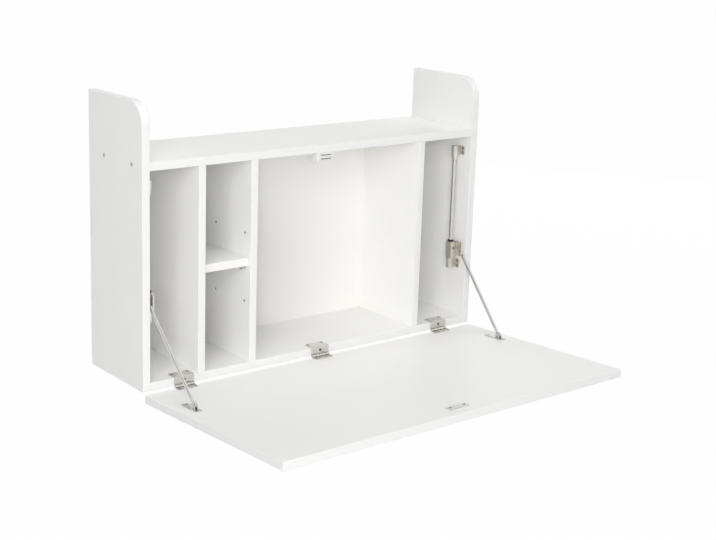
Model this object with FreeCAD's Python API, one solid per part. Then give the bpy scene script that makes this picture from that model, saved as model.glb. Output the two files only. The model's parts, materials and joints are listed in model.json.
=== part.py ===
import FreeCAD, Part
import math
import os

Vector = FreeCAD.Vector

# Cabinet boards, in millimetres
board = 15.0
cabinet_width = 770.0
cabinet_depth = 185.0
bay_height = 376.0
side_rise = 102.0
side_corner_radius = 40.0
edge_radius = 0.8
left_pocket_width = 97.0
cubby_width = 95.0
right_bay_width = 124.0

# Thin back panel in its groove
back_thickness = 3.0
back_inset = 13.0
groove_depth = 7.0
groove_gap = 0.1
groove_end_gap = 0.6

# Small shelf on pins
shelf_side_gap = 0.5
shelf_setback = 8.0
shelf_rear_gap = 1.0
pin_radius = 2.5
pin_head_radius = 4.0
pin_depth = 9.0
pin_head_length = 8.0
pin_row_inset = 19.0
pin_row_pitch = 96.0
pin_step = 64.0

# Screws and dowels that hold the boards
panel_screw_head = 4.5
panel_screw_shank = 3.0
panel_screw_length = 50.0
panel_screw_inset = 35.5
panel_screw_rear_inset = 53.5
dowel_radius = 4.0
dowel_in_top = 10.0
dowel_in_divider = 20.0
dowel_end_gap = 0.5
tip_share = 1.6
same_place_share = 1e-6

# Keyhole hangers let into the rear edges of the sides
hanger_drop = 58.0
hanger_width = 12.0
hanger_length = 60.0
hanger_thickness = 2.0
hanger_seat_radius = 3.2
hanger_neck_width = 4.4
hanger_entry_radius = 4.6
hanger_slot_travel = 12.0
hanger_screw_spacing = 48.0
hanger_pocket_depth = 10.0
hanger_screw_head = 3.0
hanger_screw_shank = 1.5
hanger_screw_length = 18.0

# Flap
flap_lip = 7.35
flap_board = 15.0
flap_side_reveal = 1.0
flap_rear_gap = 2.35
flap_rise = 2.9

# Cranked hinges with rolled knuckles
hinge_divider_gap = 9.0
hinge_width = 40.0
leaf_thickness = 1.5
hinge_pin_radius = 1.25
hinge_drop = 1.0
hinge_top_plate = 22.0
hinge_flap_plate = 14.0
knuckle_count = 5
knuckle_gap = 0.4
hinge_corner_radius = 3.0
hinge_screw_spread = 16.0
hinge_screw_inset = 16.0
hinge_front_screw_rise = 9.0
flap_screw_reach = 9.5
hinge_screw_head = 3.0
hinge_screw_shank = 1.5
hinge_screw_length = 12.0

# Fits
fit_gap = 0.05
working_gap = 0.4

# Stay linkage
stay_offset = 14.0
arm_top_offset = 5.0
pivot_setback = 11.0
arm_height_share = 0.508
bracket_reach_share = 0.622
bracket_height = 7.3
rod_to_pivot = 24.0
rod_radius = 4.0
arm_radius = 3.0
eye_radius = 5.0
eye_thickness = 3.0
eye_flat_length = 10.0
eye_blend_length = 18.0
pivot_radius = 2.0
pivot_head_radius = 3.6
pivot_head_height = 1.2

# Slider on the rod
slider_width = 12.6
slider_rear = 9.0
slider_front = 11.0
slider_below = 15.0
slider_above = 20.0
slider_corner_radius = 3.0
lug_thickness = 3.0
lug_reach = 5.0
lug_below = 7.0
lug_above = 22.0
lug_corner_radius = 3.0
lug_root = 3.5
bush_wall = 1.2
bush_collar_radius = 6.0
bush_collar_height = 3.0
brake_screw_radius = 1.8
brake_head_radius = 2.6
brake_screw_shift = 2.2
brake_head_height = 1.6
brake_screw_rise = 7.0

# Feet that hold the rod to the side panel
foot_radius = 7.0
foot_floor = 4.0
foot_stop_gap = 0.3
lower_foot_height = 21.0
upper_foot_height = 28.0
upper_foot_collar = 13.0
upper_foot_spare = 9.0
foot_tip_radius = 5.2
foot_end_radius = 2.5
foot_flange_thickness = 3.0
foot_flange_front = 15.5
foot_flange_rear = 6.0
foot_flange_height = 18.0
foot_flange_radius = 4.0
foot_web_width = 7.0
gusset_thickness = 2.5
foot_screw_inset = 11.0
foot_screw_spread = 4.6
foot_screw_head = 3.2
foot_screw_shank = 1.6
foot_screw_length = 13.0

# Flap bracket
bracket_width = 14.0
bracket_thickness = 1.5
bracket_behind = 34.5
bracket_ahead = 15.5
bracket_corner_radius = 3.0
bracket_screw_behind = 26.5
bracket_screw_ahead = 9.5
cheek_thickness = 1.5
cheek_radius = 4.6
cheek_foot = 6.0

# Magnetic catch and strike
catch_width = 40.0
catch_depth = 16.0
catch_height = 15.0
catch_corner_radius = 2.0
catch_screw_spread = 15.8
catch_screw_head = 2.8
catch_screw_shank = 1.5
catch_screw_length = 25.0
catch_proud = 0.6
catch_gap = 0.3
pole_width = 23.0
pole_depth = 13.0
pole_thickness = 1.6
pole_pitch = 7.0
pole_middle_drop = 7.5
magnet_width = 20.0
magnet_depth = 10.0
strike_width = 45.0
strike_height = 14.0
strike_thickness = 1.5
strike_corner_radius = 2.0
strike_screw_spread = 16.0

# Places that follow from the sizes above
half_width = cabinet_width / 2
inner_x = half_width - board
front_y = -cabinet_depth
floor_z = hanger_drop - (2 * board + bay_height + side_rise)
bay_floor_z = floor_z + board
bay_roof_z = bay_floor_z + bay_height
shelf_top_z = bay_roof_z + board
side_top_z = shelf_top_z + side_rise
back_front_y = -(back_inset + back_thickness)
panel_screw_rows = [front_y + panel_screw_inset, -panel_screw_rear_inset]

# Hinge axis: the rolled knuckle stands on the front edge
knuckle_radius = hinge_pin_radius + fit_gap + leaf_thickness
hinge_y = front_y - knuckle_radius
hinge_z = floor_z - hinge_drop
flap_face_z = hinge_z - knuckle_radius
flap_length = shelf_top_z + flap_lip - hinge_z - flap_rear_gap
hinge_spread = inner_x - left_pocket_width + hinge_divider_gap + hinge_width / 2

# Stay linkage in the open position, measured from the hinge axis
rise = math.radians(flap_rise)
arm_length = bay_height * arm_height_share
bracket_reach = arm_length * bracket_reach_share
bracket_lift = bracket_height - knuckle_radius
pin_forward = bracket_reach * math.cos(rise) - bracket_lift * math.sin(rise)
pin_up = bracket_reach * math.sin(rise) + bracket_lift * math.cos(rise)
pivot_up = pin_up + math.sqrt(arm_length ** 2 - (pin_forward + pivot_setback) ** 2)
closed_up = bracket_reach + math.sqrt(arm_length ** 2 - (pivot_setback - bracket_lift) ** 2)
slider_travel = closed_up - pivot_up
pivot_y = hinge_y + pivot_setback
pivot_z = hinge_z + pivot_up
rod_y = pivot_y + rod_to_pivot
slider_bottom_z = pivot_z - slider_below
slider_top_z = pivot_z + slider_above
lower_foot_top_z = slider_bottom_z - foot_stop_gap
lower_foot_bottom_z = lower_foot_top_z - lower_foot_height
upper_foot_bottom_z = slider_top_z + bush_collar_height + slider_travel + upper_foot_spare
upper_foot_top_z = upper_foot_bottom_z + upper_foot_height
rod_bottom_z = lower_foot_bottom_z + foot_floor
rod_top_z = upper_foot_top_z - foot_floor

# Screw sizes as head radius, shank radius and length
panel_screw = (panel_screw_head, panel_screw_shank, panel_screw_length)
hanger_screw = (hanger_screw_head, hanger_screw_shank, hanger_screw_length)
hinge_screw = (hinge_screw_head, hinge_screw_shank, hinge_screw_length)
foot_screw = (foot_screw_head, foot_screw_shank, foot_screw_length)
catch_screw = (catch_screw_head, catch_screw_shank, catch_screw_length)

RIGHT = Vector(1, 0, 0)
LEFT = Vector(-1, 0, 0)
FRONT = Vector(0, -1, 0)
REAR = Vector(0, 1, 0)
UP = Vector(0, 0, 1)
DOWN = Vector(0, 0, -1)
SIDES = {"left": -1, "right": 1}


def box(x0, x1, y0, y1, z0, z1):
    """Block between two corners."""
    xa, xb = sorted((x0, x1))
    return Part.makeBox(xb - xa, y1 - y0, z1 - z0, Vector(xa, y0, z0))


def bar(start, direction, length, radius):
    """Round bar from a point along a direction."""
    return Part.makeCylinder(radius, length, start, direction)


def turned(profile):
    """Solid turned about Z from pairs of radius and height."""
    points = [Vector(radius, 0, height) for radius, height in profile]
    face = Part.Face(Part.makePolygon(points + points[:1]))
    return face.revolve(Vector(0, 0, 0), UP, 360)


def aim(shape, point, direction):
    """Move a shape made along Z so that it starts at a point and runs along a direction."""
    placed = shape.copy()
    placed.Placement = FreeCAD.Placement(point, FreeCAD.Rotation(UP, direction))
    return placed


def join(shapes):
    """One solid from touching or crossing shapes."""
    return shapes[0].fuse(shapes[1:]).removeSplitter()


def cut(shape, tools):
    """Shape with all tools taken away."""
    return shape.cut(tools) if tools else shape


def rounded(shape, radius, wanted):
    """Shape with a radius on the edges that pass a test of their middle point and direction."""
    edges = []
    for edge in shape.Edges:
        middle = edge.valueAt((edge.FirstParameter + edge.LastParameter) / 2)
        if wanted(middle, edge.tangentAt(edge.FirstParameter)):
            edges.append(edge)
    return shape.makeFillet(radius, edges)


def along(direction, axis):
    """True where an edge direction lies along an axis."""
    return abs(abs(direction.dot(axis)) - 1) < same_place_share


def same(a, b):
    """True where two places agree."""
    return abs(a - b) < same_place_share * cabinet_depth


def screw(size, point, direction, grow=0):
    """Countersunk screw, or with grow the hole that it needs."""
    head, shank, length = size
    tip = shank * tip_share
    profile = [(0, 0), (head + grow, 0), (shank + grow, head - shank), (shank + grow, length - tip),
               (0, length + grow)]
    return aim(turned(profile), point, direction)


def screws(places):
    """All screws of a list of size, point and direction as one group."""
    return Part.makeCompound([screw(*place) for place in places])


def holes(places):
    """The holes for a list of screws."""
    return [screw(*place, grow=fit_gap) for place in places]


def open_turn(shape):
    """Turn a piece of the level flap up to its open stop."""
    moved = shape.copy()
    moved.rotate(Vector(0, hinge_y, hinge_z), LEFT, flap_rise)
    return moved


def front_rounded(shape):
    """Board with its long front edges eased."""
    return rounded(shape, edge_radius, lambda at, way: same(at.y, front_y) and not along(way, REAR))


# Vertical boards by name with the place of their left face
dividers = {
    "left_divider": -inner_x + left_pocket_width,
    "centre_divider": -inner_x + left_pocket_width + board + cubby_width,
    "right_divider": inner_x - right_bay_width - board,
}
cubby_left_x = dividers["left_divider"] + board
cubby_right_x = dividers["centre_divider"]
shelf_middle_z = (bay_floor_z + bay_roof_z) / 2
shelf_under_z = shelf_middle_z - board / 2
pin_mid_z = shelf_under_z - pin_head_radius
pin_rows = [front_y + pin_row_inset, front_y + pin_row_inset + pin_row_pitch]

# Screws through the sides into the top panel, and up through the bottom panel into the uprights
top_panel_screws = []
for sign in SIDES.values():
    for y in panel_screw_rows:
        middle = Vector(sign * half_width, y, (bay_roof_z + shelf_top_z) / 2)
        top_panel_screws.append((panel_screw, middle, Vector(-sign, 0, 0)))
uprights = [-half_width] + list(dividers.values()) + [inner_x]
bottom_panel_screws = []
for left_x in uprights:
    for y in panel_screw_rows:
        bottom_panel_screws.append((panel_screw, Vector(left_x + board / 2, y, floor_z), UP))

# Dowels between the dividers and the top panel
dowel_places = []
for left_x in dividers.values():
    for y in panel_screw_rows:
        dowel_places.append(Vector(left_x + board / 2, y, bay_roof_z - dowel_in_divider))


def dowel(place, radial, end):
    """Dowel, or the hole for it."""
    length = dowel_in_divider + dowel_in_top + 2 * end
    return bar(place.sub(Vector(0, 0, end)), UP, length, dowel_radius + radial)


dowels = [dowel(place, 0, 0) for place in dowel_places]
dowel_holes = [dowel(place, fit_gap, dowel_end_gap) for place in dowel_places]

# Keyhole hangers, one in each side panel
hanger_x = half_width - board / 2
hanger_screws = []
for sign in SIDES.values():
    for end in (-1, 1):
        z = end * hanger_screw_spacing / 2 - hanger_slot_travel / 2
        hanger_screws.append((hanger_screw, Vector(sign * hanger_x, 0, z), FRONT))


def hanger_block(x, gap):
    """Outline block of a hanger plate with round ends."""
    low = -hanger_slot_travel / 2 - hanger_length / 2 + hanger_width / 2
    high = low + hanger_length - hanger_width
    radius = hanger_width / 2 + gap
    parts = [box(x - radius, x + radius, -hanger_thickness, 0, low, high)]
    for z in (low, high):
        parts.append(bar(Vector(x, -hanger_thickness, z), REAR, hanger_thickness, radius))
    return join(parts)


def keyhole(x):
    """Keyhole: the head of a wall screw enters below and its shank hangs in the seat above."""
    low = -hanger_slot_travel
    deep = hanger_thickness
    half = hanger_neck_width / 2
    neck = box(x - half, x + half, -deep, 0, low, 0)
    seat = bar(Vector(x, -deep, 0), REAR, deep, hanger_seat_radius)
    entry = bar(Vector(x, -deep, low), REAR, deep, hanger_entry_radius)
    return join([neck, seat, entry])


def head_pocket(x):
    """Room in the board for the head of the wall screw."""
    low = -hanger_slot_travel
    deep = hanger_pocket_depth
    room = box(x - hanger_entry_radius, x + hanger_entry_radius, -deep, 0, low, 0)
    ends = [bar(Vector(x, -deep, z), REAR, deep, hanger_entry_radius) for z in (low, 0)]
    return join([room] + ends)


wall_hangers = []
for sign in SIDES.values():
    plate = cut(hanger_block(sign * hanger_x, 0), [keyhole(sign * hanger_x)] + holes(hanger_screws))
    wall_hangers.append(plate)

# Stay screws into the side panels
flange_lower_z = (lower_foot_bottom_z + lower_foot_top_z) / 2
flange_upper_z = upper_foot_top_z - foot_flange_height / 2


def at(sign, offset):
    """Place across the cabinet, counted from the inner face of a side panel."""
    return sign * (inner_x - offset)


foot_screws = {}
for name, sign in SIDES.items():
    y = rod_y - foot_screw_inset
    spots = []
    for z in (flange_lower_z, flange_upper_z):
        for spread in (-foot_screw_spread, foot_screw_spread):
            spot = Vector(at(sign, foot_flange_thickness), y, z + spread)
            spots.append((foot_screw, spot, Vector(sign, 0, 0)))
    foot_screws[name] = spots


def groove(x0, x1, z0, z1):
    """Groove that takes the back panel."""
    return box(x0, x1, back_front_y - groove_gap, -back_inset + groove_gap, z0, z1)


def side_panel(name):
    """Side panel that rises above the top panel with a round front corner."""
    sign = SIDES[name]
    turn = side_corner_radius * (1 - math.sqrt(2) / 2)
    corner = [Vector(0, front_y, side_top_z - side_corner_radius),
              Vector(0, front_y + turn, side_top_z - turn),
              Vector(0, front_y + side_corner_radius, side_top_z)]
    low_front = Vector(0, front_y, bay_floor_z)
    low_rear = Vector(0, 0, bay_floor_z)
    high_rear = Vector(0, 0, side_top_z)
    outline = [Part.makeLine(low_front, corner[0]), Part.Arc(*corner).toShape(), Part.makeLine(corner[2], high_rear),
               Part.makeLine(high_rear, low_rear), Part.makeLine(low_rear, low_front)]
    panel = Part.Face(Part.Wire(outline)).extrude(Vector(board, 0, 0))
    panel.translate(Vector(min(sign * inner_x, sign * half_width), 0, 0))
    eased = lambda spot, way: not along(way, RIGHT) and not same(spot.y, 0) and not same(spot.z, bay_floor_z)
    panel = rounded(panel, edge_radius, eased)
    slot = groove(sign * inner_x, sign * (inner_x + groove_depth), bay_floor_z, bay_roof_z + groove_depth)
    tools = [slot, hanger_block(sign * hanger_x, fit_gap), head_pocket(sign * hanger_x)]
    tools += holes(top_panel_screws) + holes(bottom_panel_screws) + holes(hanger_screws) + holes(foot_screws[name])
    return cut(panel, tools)


def shelf_pin(x, y, z, way, gap=0, head=True):
    """Shelf pin with a thicker head that reaches along a way, or the hole for its stem."""
    stem = bar(Vector(x, y, z), Vector(-way, 0, 0), pin_depth + gap, pin_radius + gap)
    if not head:
        return stem
    return join([stem, bar(Vector(x, y, z), Vector(way, 0, 0), pin_head_length, pin_head_radius)])


def divider(name):
    """Upright board between the bottom and top panels."""
    left_x = dividers[name]
    upright = front_rounded(box(left_x, left_x + board, front_y, back_front_y, bay_floor_z, bay_roof_z))
    tools = holes(bottom_panel_screws) + dowel_holes
    for y in pin_rows:
        for step in (-pin_step, 0, pin_step):
            if name == "left_divider":
                tools.append(shelf_pin(cubby_left_x, y, pin_mid_z + step, 1, fit_gap, False))
            if name == "centre_divider":
                tools.append(shelf_pin(cubby_right_x, y, pin_mid_z + step, -1, fit_gap, False))
    return cut(upright, tools)


shelf_pins = []
for y in pin_rows:
    shelf_pins.append(shelf_pin(cubby_left_x, y, pin_mid_z, 1))
    shelf_pins.append(shelf_pin(cubby_right_x, y, pin_mid_z, -1))

# Magnetic catch under the top panel; its poles meet the strike when the flap is closed
pole_front_y = front_y - 2 * knuckle_radius + strike_thickness + catch_gap
catch_front_y = pole_front_y + catch_proud
catch_mid_z = bay_roof_z - pole_middle_drop
catch_screws = []
for sign in SIDES.values():
    spot = Vector(sign * catch_screw_spread, catch_front_y + catch_depth / 2, bay_roof_z - catch_height)
    catch_screws.append((catch_screw, spot, UP))


def pole(side, gap):
    """One steel pole plate, or the slot for it."""
    middle = catch_mid_z + side * pole_pitch / 2
    half = pole_thickness / 2 + gap
    wide = pole_width / 2 + gap
    return box(-wide, wide, pole_front_y - gap, pole_front_y + pole_depth + gap, middle - half, middle + half)


def magnet(gap):
    """Magnet between the pole plates, or the room for it."""
    wide = magnet_width / 2 + gap
    rear = pole_front_y + pole_depth + gap
    half = (pole_pitch - pole_thickness) / 2
    return box(-wide, wide, rear - magnet_depth - 2 * gap, rear, catch_mid_z - half, catch_mid_z + half)


catch_body = box(-catch_width / 2, catch_width / 2, catch_front_y, catch_front_y + catch_depth,
                 bay_roof_z - catch_height, bay_roof_z)
catch_body = rounded(catch_body, catch_corner_radius, lambda spot, way: along(way, UP))
catch_body = cut(catch_body, [pole(-1, fit_gap), pole(1, fit_gap), magnet(fit_gap)] + holes(catch_screws))

# Hinges
hinge_places = {"left": -hinge_spread, "middle": 0, "right": hinge_spread}
hinge_cabinet_screws = []
hinge_flap_screws = []
for x in hinge_places.values():
    for spread in (-hinge_screw_spread, hinge_screw_spread):
        top = Vector(x + spread, front_y + hinge_screw_inset, bay_floor_z + leaf_thickness)
        hinge_cabinet_screws.append((hinge_screw, top, DOWN))
        low = Vector(x + spread, hinge_y - flap_screw_reach, flap_face_z + leaf_thickness)
        hinge_flap_screws.append((hinge_screw, low, DOWN))
    middle = Vector(x, front_y - leaf_thickness, floor_z + hinge_front_screw_rise)
    hinge_cabinet_screws.append((hinge_screw, middle, REAR))
knuckle_pitch = hinge_width / knuckle_count


def knuckles(x, first, radius, grow):
    """Every second knuckle of a hinge as plain bars about its axis."""
    bars = []
    for number in range(first, knuckle_count, 2):
        start = x - hinge_width / 2 + number * knuckle_pitch - grow / 2
        length = knuckle_pitch + grow
        bars.append(bar(Vector(start, hinge_y, hinge_z), RIGHT, length, radius))
    return bars


def roll(plate, x, own):
    """Plate with its own knuckles rolled on, and gaps where the other leaf has its knuckles."""
    solid = join([plate] + knuckles(x, own, knuckle_radius, -knuckle_gap))
    axis = Vector(x - hinge_width / 2, hinge_y, hinge_z)
    bore = bar(axis, RIGHT, hinge_width, hinge_pin_radius + fit_gap)
    return cut(solid, [bore] + knuckles(x, 1 - own, knuckle_radius + knuckle_gap, knuckle_gap))


def fixed_leaf(x):
    """Leaf that lies on the bottom panel, turns down over its front edge and rolls round the pin."""
    left_x, right_x = x - hinge_width / 2, x + hinge_width / 2
    plate_top = bay_floor_z + leaf_thickness
    front = front_y - leaf_thickness
    lying = box(left_x, right_x, front, front_y + hinge_top_plate, bay_floor_z, plate_top)
    hanging = box(left_x, right_x, front, front_y, hinge_z, plate_top)
    plate = join([lying, hanging])
    plate = rounded(plate, leaf_thickness, lambda spot, way: same(spot.y, front) and same(spot.z, plate_top))
    rear = front_y + hinge_top_plate
    plate = rounded(plate, hinge_corner_radius, lambda spot, way: same(spot.y, rear) and along(way, UP))
    return cut(roll(plate, x, 0), holes(hinge_cabinet_screws))


def flap_leaf(x):
    """Leaf that lies on the inside face of the level flap."""
    left_x, right_x = x - hinge_width / 2, x + hinge_width / 2
    reach = hinge_y - hinge_flap_plate
    plate = box(left_x, right_x, reach, hinge_y, flap_face_z, flap_face_z + leaf_thickness)
    plate = rounded(plate, hinge_corner_radius, lambda spot, way: same(spot.y, reach) and along(way, UP))
    return cut(roll(plate, x, 1), holes(hinge_flap_screws))


def hinge_pin(x):
    """Pin of a hinge."""
    return bar(Vector(x - hinge_width / 2, hinge_y, hinge_z), RIGHT, hinge_width, hinge_pin_radius)


# Stays: everything is counted from the inner face of the side panel
bracket_screws = {}
for name, sign in SIDES.items():
    spots = []
    for reach in (bracket_reach - bracket_screw_behind, bracket_reach + bracket_screw_ahead):
        spot = Vector(at(sign, stay_offset), hinge_y - reach, flap_face_z + bracket_thickness)
        spots.append((hinge_screw, spot, DOWN))
    bracket_screws[name] = spots


def guide_rod(sign):
    """Round rod that the slider runs on."""
    return bar(Vector(at(sign, stay_offset), rod_y, rod_bottom_z), UP, rod_top_z - rod_bottom_z, rod_radius)


def foot_flange(sign, low, high):
    """Flange on the side panel, with round corners."""
    plate = box(at(sign, 0), at(sign, foot_flange_thickness), rod_y - foot_flange_front, rod_y + foot_flange_rear,
                low, high)
    return rounded(plate, foot_flange_radius, lambda spot, way: along(way, RIGHT))


def foot_web(sign, low, high):
    """Web between the flange and the sleeve."""
    half = foot_web_width / 2
    return box(at(sign, 0), at(sign, stay_offset), rod_y - half, rod_y + half, low, high)


def socket(sign):
    """Room for the rod in its feet."""
    start = Vector(at(sign, stay_offset), rod_y, rod_bottom_z)
    return bar(start, UP, rod_top_z - rod_bottom_z, rod_radius + fit_gap)


def lower_foot(name):
    """Lower foot: a cup that carries the rod and stops the slider."""
    sign = SIDES[name]
    cup = bar(Vector(at(sign, stay_offset), rod_y, lower_foot_bottom_z), UP, lower_foot_height, foot_radius)
    cup = rounded(cup, foot_end_radius, lambda spot, way: same(spot.z, lower_foot_bottom_z))
    half = foot_flange_height / 2
    flange = foot_flange(sign, flange_lower_z - half, flange_lower_z + half)
    web = foot_web(sign, flange_lower_z - half, flange_lower_z + half)
    return cut(join([cup, flange, web]), [socket(sign)] + holes(foot_screws[name]))


def upper_foot(name):
    """Upper foot: a tapered sleeve with a slanting gusset to its flange."""
    sign = SIDES[name]
    x = at(sign, stay_offset)
    taper = upper_foot_height - upper_foot_collar
    sleeve = turned([(0, 0), (foot_tip_radius, 0), (foot_radius, taper), (foot_radius, upper_foot_height),
                     (0, upper_foot_height)])
    sleeve = aim(sleeve, Vector(x, rod_y, upper_foot_bottom_z), UP)
    low = upper_foot_top_z - foot_flange_height
    flange = foot_flange(sign, low, upper_foot_top_z)
    web = foot_web(sign, low, upper_foot_top_z)
    points = [Vector(at(sign, 0), rod_y, low + foot_flange_radius), Vector(x, rod_y, low),
              Vector(x, rod_y, upper_foot_bottom_z)]
    brace = Part.Face(Part.makePolygon(points + points[:1])).extrude(Vector(0, gusset_thickness, 0))
    brace.translate(Vector(0, -gusset_thickness / 2, 0))
    return cut(join([sleeve, flange, web, brace]), [socket(sign)] + holes(foot_screws[name]))


bush_radius = rod_radius + fit_gap + bush_wall
brake_z = pivot_z + brake_screw_rise
slider_front_y = rod_y - slider_front
lug_face = arm_top_offset + eye_thickness / 2 + working_gap


def brake_screw(sign, grow=0):
    """Screw in the front of the slider that presses the bush on the rod."""
    x = at(sign, stay_offset + brake_screw_shift)
    tip_y = rod_y - bush_radius - fit_gap
    shank = bar(Vector(x, slider_front_y, brake_z), REAR, tip_y - slider_front_y, brake_screw_radius + grow)
    if grow:
        return shank
    head = bar(Vector(x, slider_front_y, brake_z), FRONT, brake_head_height, brake_head_radius)
    return join([shank, head])


def pivot_stud(sign, grow=0):
    """Stud in the lug of the slider, with its head away from the side panel."""
    spot = Vector(at(sign, lug_face), pivot_y, pivot_z)
    inward = Vector(-sign, 0, 0)
    shank = bar(spot, inward, lug_thickness, pivot_radius + grow)
    if grow:
        return shank
    back = Vector(at(sign, lug_face + lug_thickness), pivot_y, pivot_z)
    return join([shank, bar(back, inward, pivot_head_height, pivot_head_radius)])


def slider_body(sign):
    """Slider: a block on the rod with a lug plate in front for the arm."""
    x = at(sign, stay_offset)
    half = slider_width / 2
    block = box(x - half, x + half, slider_front_y, rod_y + slider_rear, slider_bottom_z, slider_top_z)
    block = rounded(block, slider_corner_radius, lambda spot, way: along(way, UP))
    lug = box(at(sign, lug_face), at(sign, lug_face + lug_thickness), pivot_y - lug_reach,
              slider_front_y + lug_root, pivot_z - lug_below, pivot_z + lug_above)
    nose = pivot_y - lug_reach
    lug = rounded(lug, lug_corner_radius, lambda spot, way: same(spot.y, nose) and along(way, RIGHT))
    solid = join([block, lug])
    bore = bar(Vector(x, rod_y, slider_bottom_z), UP, slider_top_z - slider_bottom_z, bush_radius + fit_gap)
    return cut(solid, [bore, brake_screw(sign, fit_gap), pivot_stud(sign, fit_gap)])


def slider_bush(sign):
    """Plastic bush that grips the rod, with a collar on top of the slider."""
    x = at(sign, stay_offset)
    height = slider_top_z - slider_bottom_z
    inside = rod_radius + fit_gap
    profile = [(inside, 0), (bush_radius, 0), (bush_radius, height), (bush_collar_radius, height),
               (bush_collar_radius, height + bush_collar_height), (inside, height + bush_collar_height)]
    return aim(turned(profile), Vector(x, rod_y, slider_bottom_z), UP)


def arm_rivet(sign, grow=0):
    """Rivet through the upper eye of the arm that ends short of the lug."""
    face = arm_top_offset - eye_thickness / 2
    inward = Vector(-sign, 0, 0)
    spot = Vector(at(sign, face), pivot_y, pivot_z)
    shank = bar(spot, inward, eye_thickness, pivot_radius + grow)
    if grow:
        return shank
    return join([shank, bar(spot, Vector(sign, 0, 0), pivot_head_height, pivot_head_radius)])


def bracket_pin_place(sign):
    """Centre of the bracket pin in the open position."""
    return Vector(at(sign, stay_offset), hinge_y - pin_forward, hinge_z + pin_up)


def arm(sign):
    """Round arm with a flattened eye at each end, slanting outwards from the bracket pin to the slider pivot."""
    flat = eye_thickness / 2
    starts = eye_flat_length
    ends = eye_blend_length
    slant = sign * (stay_offset - arm_top_offset)
    wide = arm_radius + fit_gap
    low_x, high_x = slant * ends / arm_length, slant - slant * ends / arm_length
    edge = [(-flat, -eye_radius), (flat, -eye_radius), (flat, starts), (low_x + wide, ends),
            (high_x + wide, arm_length - ends), (slant + flat, arm_length - starts),
            (slant + flat, arm_length + eye_radius), (slant - flat, arm_length + eye_radius),
            (slant - flat, arm_length - starts), (high_x - wide, arm_length - ends), (low_x - wide, ends),
            (-flat, starts)]
    points = [Vector(x, -eye_radius, z) for x, z in edge]
    press = Part.Face(Part.makePolygon(points + points[:1])).extrude(Vector(0, 2 * eye_radius, 0))
    run = Vector(slant, 0, arm_length)
    solid = bar(Vector(0, 0, 0), run, run.Length, arm_radius).common(press)
    for x, z in ((0, 0), (slant, arm_length)):
        solid = solid.fuse(bar(Vector(x - flat, 0, z), RIGHT, eye_thickness, eye_radius))
    solid = solid.removeSplitter()
    solid = cut(solid, [bar(Vector(-flat, 0, 0), RIGHT, eye_thickness, pivot_radius + fit_gap)])
    low = bracket_pin_place(sign)
    high = Vector(low.x, pivot_y, pivot_z)
    return cut(aim(solid, low, high.sub(low)), [arm_rivet(sign, fit_gap)])


cheek_inner = eye_thickness / 2 + working_gap
cheek_outer = cheek_inner + cheek_thickness


def flap_bracket(name):
    """Bracket on the level flap: a base plate with two cheeks for the arm pin."""
    sign = SIDES[name]
    x = at(sign, stay_offset)
    rear, front = hinge_y - bracket_reach + bracket_behind, hinge_y - bracket_reach - bracket_ahead
    top = flap_face_z + bracket_thickness
    base = box(x - bracket_width / 2, x + bracket_width / 2, front, rear, flap_face_z, top)
    base = rounded(base, bracket_corner_radius, lambda spot, way: along(way, UP))
    parts = [base]
    y = hinge_y - bracket_reach
    z = flap_face_z + bracket_height
    for side in (-1, 1):
        start = x + min(side * cheek_inner, side * cheek_outer)
        points = [Vector(start, y - cheek_foot, flap_face_z), Vector(start, y + cheek_foot, flap_face_z),
                  Vector(start, y + cheek_radius, z), Vector(start, y - cheek_radius, z)]
        parts.append(Part.Face(Part.makePolygon(points + points[:1])).extrude(Vector(cheek_thickness, 0, 0)))
        parts.append(bar(Vector(start, y, z), RIGHT, cheek_thickness, cheek_radius))
    bore = bar(Vector(x - cheek_outer, y, z), RIGHT, 2 * cheek_outer, pivot_radius + fit_gap)
    return cut(join(parts), [bore] + holes(bracket_screws[name]))


def bracket_pin(sign):
    """Pin through the cheeks with a head on each end, on the level flap."""
    x = at(sign, stay_offset)
    y = hinge_y - bracket_reach
    z = flap_face_z + bracket_height
    pin = bar(Vector(x - cheek_outer, y, z), RIGHT, 2 * cheek_outer, pivot_radius)
    heads = [bar(Vector(x + cheek_outer, y, z), RIGHT, pivot_head_height, pivot_head_radius),
             bar(Vector(x - cheek_outer, y, z), LEFT, pivot_head_height, pivot_head_radius)]
    return join([pin] + heads)


# Strike plate on the level flap, opposite the catch
strike_y = hinge_y - (catch_mid_z - hinge_z)
strike_screws = []
for sign in SIDES.values():
    spot = Vector(sign * strike_screw_spread, strike_y, flap_face_z + strike_thickness)
    strike_screws.append((hinge_screw, spot, DOWN))
strike_plate = box(-strike_width / 2, strike_width / 2, strike_y - strike_height / 2, strike_y + strike_height / 2,
                   flap_face_z, flap_face_z + strike_thickness)
strike_plate = rounded(strike_plate, strike_corner_radius, lambda spot, way: along(way, UP))
strike_plate = cut(strike_plate, holes(strike_screws))

# Flap board, level
flap_half = half_width - flap_side_reveal
flap_rear_y = hinge_y - flap_rear_gap
flap = box(-flap_half, flap_half, flap_rear_y - flap_length, flap_rear_y, flap_face_z - flap_board, flap_face_z)
flap = flap.makeFillet(edge_radius, flap.Edges)
flap_tools = holes(hinge_flap_screws) + holes(strike_screws)
for name in SIDES:
    flap_tools += holes(bracket_screws[name])
flap = cut(flap, flap_tools)

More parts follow.
